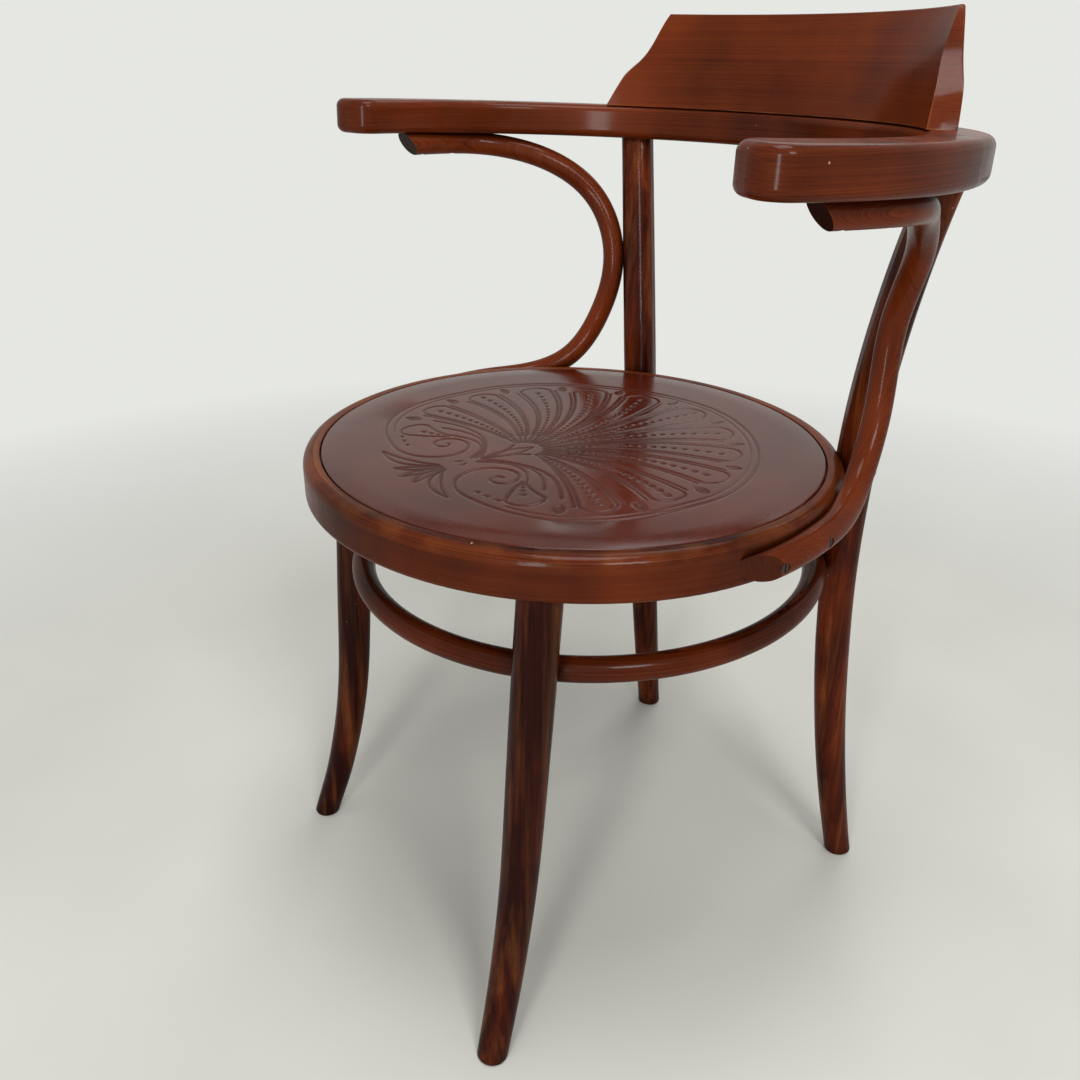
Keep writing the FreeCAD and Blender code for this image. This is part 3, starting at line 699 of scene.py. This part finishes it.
def ornament_lines(ornament):
    """Lines and dashes of the whole ornament"""
    lines, dashes = left_half(ornament.half_width / MM, ornament.half_depth / MM, ornament.lobes // 2)
    flip = np.array((-1.0, 1.0))
    lines += [(points * flip, width, depth) for points, width, depth in lines]
    dashes += [(point * flip, heading * flip, across, along) for point, heading, across, along in dashes]
    return lines, dashes


def pressed_share(spots, lines, dashes, line_width):
    """How deep each spot is pressed, from 0 at the surface to 1

    A line is its points and its shares of the line width and of the pressing depth.
    A dash is its middle, its heading, its half width and its half length.
    """
    pressed = np.zeros(len(spots))
    for points, width, depth in lines:
        reach = 0.5 * line_width * width
        for first, second in zip(points[:-1], points[1:]):
            low = np.minimum(first, second) - LINE_REACH * reach
            high = np.maximum(first, second) + LINE_REACH * reach
            near = np.flatnonzero(np.all((spots > low) & (spots < high), axis=1))
            if not len(near):
                continue
            along = second - first
            share = np.clip(((spots[near] - first) @ along) / max(1e-9, along @ along), 0, 1)
            gap = np.linalg.norm(spots[near] - first - share[:, None] * along, axis=1)
            pressed[near] = np.maximum(pressed[near], depth * np.exp(-(gap / reach) ** 2 * 0.9))
    for point, heading, across, along in dashes:
        near = np.flatnonzero(np.all(np.abs(spots - point) < DASH_REACH * along, axis=1))
        away = spots[near] - point
        lengthways = away @ heading / along
        sideways = away @ np.array((-heading[1], heading[0])) / across
        pressed[near] = np.maximum(pressed[near], np.exp(-(lengthways ** 2 + sideways ** 2) ** 1.5))
    return pressed


# Seat panel: how far its fine field reaches past the ring, and its edge, in metres

FIELD_SIDE_ROOM = 8 * MM
FIELD_END_ROOM = 16 * MM
FIELD_FORWARDS = 9 * MM
EDGE_ROUND = 1.2 * MM
TOP_SKIN = 0.1 * MM


def seat_panel_mesh(ornament):
    """The panel as one closed shell: a fine field, a plain border, a rounded edge and a flat back"""
    middle = (panel_low + panel_high) / 2
    half = (panel_high - panel_low) / 2
    top = panel_high.z
    field_middle = Vector((0.0, middle.y + ornament.back - FIELD_FORWARDS, top))
    field_width = ornament.half_width + FIELD_SIDE_ROOM
    field_depth = ornament.half_depth + FIELD_END_ROOM
    bm = bmesh.new()
    bmesh.ops.create_grid(bm, x_segments=ornament.cells, y_segments=ornament.cells, size=1.0)
    for vert in bm.verts:
        across, along = vert.co.x, vert.co.y
        vert.co.x = field_middle.x + field_width * across * math.sqrt(1 - along ** 2 / 2)
        vert.co.y = field_middle.y + field_depth * along * math.sqrt(1 - across ** 2 / 2)
        vert.co.z = top
    steps = [(0.5, 0.0, 0.0), (1.0, EDGE_ROUND, 0.0)]
    for turn in (30.0, 60.0, 90.0):
        slant = math.radians(turn)
        steps.append((1.0, EDGE_ROUND * (1 - math.sin(slant)), EDGE_ROUND * (1 - math.cos(slant))))
    steps.append((1.0, 0.0, 2 * half.z))
    rim = [edge for edge in bm.edges if edge.is_boundary]
    for share, inset, drop in steps:
        made = bmesh.ops.extrude_edge_only(bm, edges=rim)["geom"]
        rim = [item for item in made if isinstance(item, bmesh.types.BMEdge)]
        for vert in {vert for edge in rim for vert in edge.verts}:
            if share < 1.0:
                at = vert.co - field_middle
                turn = math.atan2(at.y / field_depth, at.x / field_width)
            else:
                at = vert.co - middle
                turn = math.atan2(at.y / half.y, at.x / half.x)
            goal = Vector((middle.x + (half.x - inset) * math.cos(turn),
                           middle.y + (half.y - inset) * math.sin(turn), 0.0))
            vert.co.x += (goal.x - vert.co.x) * share
            vert.co.y += (goal.y - vert.co.y) * share
            vert.co.z = top - drop
    bmesh.ops.holes_fill(bm, edges=rim, sides=0)
    bmesh.ops.recalc_face_normals(bm, faces=bm.faces)
    for face in bm.faces:
        face.smooth = len(face.verts) == 4
    mesh = bpy.data.meshes.new("seat_panel_pressed")
    bm.to_mesh(mesh)
    bm.free()
    return mesh


def press_ornament(mesh, ornament):
    """Lowers the top of the panel along the ornament and notes how deep each spot is"""
    middle_y = (panel_low.y + panel_high.y) / 2 + ornament.back
    count = len(mesh.vertices)
    places = np.zeros(count * 3)
    mesh.vertices.foreach_get("co", places)
    places = places.reshape(-1, 3)
    spots = (places[:, :2] - np.array((0.0, middle_y))) / MM
    lines, dashes = ornament_lines(ornament)
    field = places[:, 2] > panel_high.z - TOP_SKIN
    pressed = np.zeros(count)
    pressed[field] = pressed_share(spots[field], lines, dashes, ornament.line / MM)
    places[:, 2] -= pressed * ornament.depth
    mesh.vertices.foreach_set("co", places.ravel())
    note = mesh.attributes.new("pressed", "FLOAT", "POINT")
    note.data.foreach_set("value", pressed)
    mesh.update()


# Operators

class CHAIR_OT_seat_panel(bpy.types.Operator):
    """Makes the seat panel with its pressed ornament"""
    bl_idname = "chair.seat_panel"
    bl_label = "Seat Panel"

    def execute(self, context):
        ornament = context.scene.chair_ornament
        mesh = seat_panel_mesh(ornament)
        press_ornament(mesh, ornament)
        panel = bpy.data.objects.new("seat_panel_pressed", mesh)
        context.scene.collection.objects.link(panel)
        mesh.materials.append(pressed_plywood("pressed seat plywood", context.scene.chair_stain))
        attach(panel, "root")
        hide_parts("seat_panel")
        return {"FINISHED"}


class CHAIR_OT_bent_pieces(bpy.types.Operator):
    """Finishes the rim, the hoop, the bow, the crest rail and the arm supports"""
    bl_idname = "chair.bent_pieces"
    bl_label = "Bent Pieces"

    def execute(self, context):
        stain = context.scene.chair_stain
        upright = (0.0, 0.0, 0.0)
        sideways = (0.0, math.radians(90.0), 0.0)
        other_side = Vector((-SUPPORT_MIDDLE.x, SUPPORT_MIDDLE.y, SUPPORT_MIDDLE.z))
        pieces = (
            ("seat_rim", "rim beech", SEAT_MIDDLE, upright, -0.05),
            ("leg_ring", "hoop beech", HOOP_MIDDLE, upright, -0.15),
            ("arm_bow", "bow beech", BOW_MIDDLE, upright, -0.05),
            ("crest_rail", "crest beech", BOW_MIDDLE, upright, 0.15),
            ("arm_support_right", "right support beech", SUPPORT_MIDDLE, sideways, 0.2),
            ("arm_support_left", "left support beech", other_side, sideways, 0.2),
        )
        # Painted highlight, partly wear, along the rim's rounded top
        worn_and_lit_tops = {"seat_rim": rim_high.z - WORN_AND_LIT_TOP}
        cut_end = Vector((0.0, support_low.y, (support_low.z + support_high.z) / 2))
        cut_ends = {"arm_support_right": cut_end, "arm_support_left": cut_end}
        for node, name, middle, turn, warmth in pieces:
            grain = partial(bent_grain, middle=middle, turn=turn)
            dress(node, lacquered_beech(name, grain, warmth, stain, worn_and_lit_tops.get(node), cut_ends.get(node)))
        return {"FINISHED"}


class CHAIR_OT_legs(bpy.types.Operator):
    """Finishes the four legs"""
    bl_idname = "chair.legs"
    bl_label = "Legs"

    def execute(self, context):
        stain = context.scene.chair_stain
        # Darker copies of the stain for the legs, partly painted shade under the seat
        front = lacquered_beech("front leg beech", straight_grain, FRONT_LEG_WARMTH_AND_SHADE, stain)
        rear = lacquered_beech("rear leg beech", straight_grain, REAR_LEG_WARMTH_AND_SHADE, stain)
        for side in ("right", "left"):
            dress("front_leg_" + side, front)
            dress("rear_leg_" + side, rear)
        return {"FINISHED"}


class CHAIR_OT_fasteners(bpy.types.Operator):
    """Finishes the screws, bolts, washers, nuts and dowels"""
    bl_idname = "chair.fasteners"
    bl_label = "Fasteners"

    def execute(self, context):
        stain = context.scene.chair_stain
        steel = dark_steel("darkened steel", stain)
        for node in ("ring_screws", "support_rim_screws", "support_arm_screws",
                     "rear_leg_bolts", "rear_leg_washers", "rear_leg_nuts"):
            dress(node, steel)
        dress("crest_dowels", plain_beech("dowel beech", stain))
        return {"FINISHED"}


class CHAIR_OT_stage(bpy.types.Operator):
    """Sets the floor, the light and the camera"""
    bl_idname = "chair.stage"
    bl_label = "Stage"

    def execute(self, context):
        stage = context.scene.chair_stage
        make_floor(context, stage)
        make_world(context, stage)
        for name, strength, place, size in LAMPS:
            make_lamp(context, name, place, getattr(stage, strength), size)
        make_camera(context)
        context.scene.view_settings.view_transform = "Standard"
        return {"FINISHED"}


def make_floor(context, stage):
    """A pale floor that fades into the surroundings a short way from the chair"""
    bm = bmesh.new()
    bmesh.ops.create_grid(bm, x_segments=1, y_segments=1, size=FLOOR_HALF)
    mesh = bpy.data.meshes.new("floor")
    bm.to_mesh(mesh)
    bm.free()
    floor = bpy.data.objects.new("floor", mesh)
    context.scene.collection.objects.link(floor)
    material, tree, shader = blank_material("pale floor")
    spot = object_place(tree)
    clouds = cloud(tree, spot, 0.0, FLOOR_CLOUDS, 3.0)
    colour = tinted(tree, stage.floor, between(tree, clouds, 0.3, 0.7, 0.96, 1.04))
    feed(tree, shader.inputs["Base Color"], colour)
    shader.inputs["Roughness"].default_value = 0.8
    shader.inputs["Specular IOR Level"].default_value = 0.2
    beyond = add(tree, "ShaderNodeEmission")
    beyond.inputs["Color"].default_value = stage.wall
    reach = add(tree, "ShaderNodeVectorMath", operation="LENGTH")
    feed(tree, reach.inputs[0], spot)
    sweep = add(tree, "ShaderNodeMixShader")
    feed(tree, sweep.inputs[0], between(tree, reach.outputs["Value"], FADE_START, FADE_END))
    feed(tree, sweep.inputs[1], shader.outputs[0])
    feed(tree, sweep.inputs[2], beyond.outputs[0])
    feed(tree, tree.nodes["Material Output"].inputs[0], sweep.outputs[0])
    mesh.materials.append(material)


def make_world(context, stage):
    """Even light on the object, with the surroundings' own colour where they are seen or mirrored"""
    world = bpy.data.worlds.new("room")
    context.scene.world = world
    world.use_nodes = True
    tree = world.node_tree
    tree.nodes.clear()
    even = add(tree, "ShaderNodeBackground")
    even.inputs["Color"].default_value = (1.0, 1.0, 1.0, 1.0)
    even.inputs["Strength"].default_value = stage.sky
    seen = add(tree, "ShaderNodeBackground")
    seen.inputs["Color"].default_value = stage.wall
    rays = add(tree, "ShaderNodeLightPath")
    direct = maths(tree, "ADD", rays.outputs["Is Camera Ray"], rays.outputs["Is Glossy Ray"])
    direct = maths(tree, "ADD", direct, rays.outputs["Is Transmission Ray"], clamp=True)
    mix = add(tree, "ShaderNodeMixShader")
    feed(tree, mix.inputs[0], direct)
    feed(tree, mix.inputs[1], even.outputs[0])
    feed(tree, mix.inputs[2], seen.outputs[0])
    out = add(tree, "ShaderNodeOutputWorld")
    feed(tree, out.inputs[0], mix.outputs[0])


def make_lamp(context, name, place, power, size):
    """A soft rectangular lamp that faces the middle of the chair and isn't seen itself"""
    light = bpy.data.lights.new(name, "AREA")
    light.energy = power
    light.shape = "RECTANGLE"
    light.size, light.size_y = size
    lamp = bpy.data.objects.new(name, light)
    lamp.location = place
    heading = LAMP_AIM - Vector(place)
    lamp.rotation_euler = heading.to_track_quat("-Z", "Y").to_euler()
    lamp.visible_camera = False
    context.scene.collection.objects.link(lamp)


def make_camera(context):
    """The camera at the photograph's viewing angle"""
    data = bpy.data.cameras.new("photographer")
    data.sensor_fit = "HORIZONTAL"
    data.sensor_width = 36.0
    data.lens = CAMERA_LENS
    data.shift_y = CAMERA_SHIFT
    data.clip_start = 0.02
    camera = bpy.data.objects.new("photographer", data)
    camera.location = CAMERA_PLACE
    camera.rotation_euler = [math.radians(turn) for turn in CAMERA_TURN]
    context.scene.collection.objects.link(camera)
    context.scene.camera = camera


class CHAIR_PT_panel(bpy.types.Panel):
    """Lists the steps that dress the chair"""
    bl_label = "Captains Chair"
    bl_space_type = "VIEW_3D"
    bl_region_type = "UI"
    bl_category = "Chair"

    def draw(self, context):
        for step in STEPS:
            self.layout.operator(step.bl_idname)


STEPS = (CHAIR_OT_stage, CHAIR_OT_seat_panel, CHAIR_OT_bent_pieces, CHAIR_OT_legs, CHAIR_OT_fasteners)
GROUPS = (("chair_stain", ChairStain), ("chair_ornament", ChairOrnament), ("chair_stage", ChairStage))


def register():
    for name, group in GROUPS:
        bpy.utils.register_class(group)
        setattr(bpy.types.Scene, name, PointerProperty(type=group))
    for item in STEPS + (CHAIR_PT_panel,):
        bpy.utils.register_class(item)


def unregister():
    for item in reversed(STEPS + (CHAIR_PT_panel,)):
        bpy.utils.unregister_class(item)
    for name, group in reversed(GROUPS):
        delattr(bpy.types.Scene, name)
        bpy.utils.unregister_class(group)


def main():
    register()
    bpy.ops.chair.stage()
    bpy.ops.chair.seat_panel()
    bpy.ops.chair.bent_pieces()
    bpy.ops.chair.legs()
    bpy.ops.chair.fasteners()


if __name__ == "__main__":
    main()
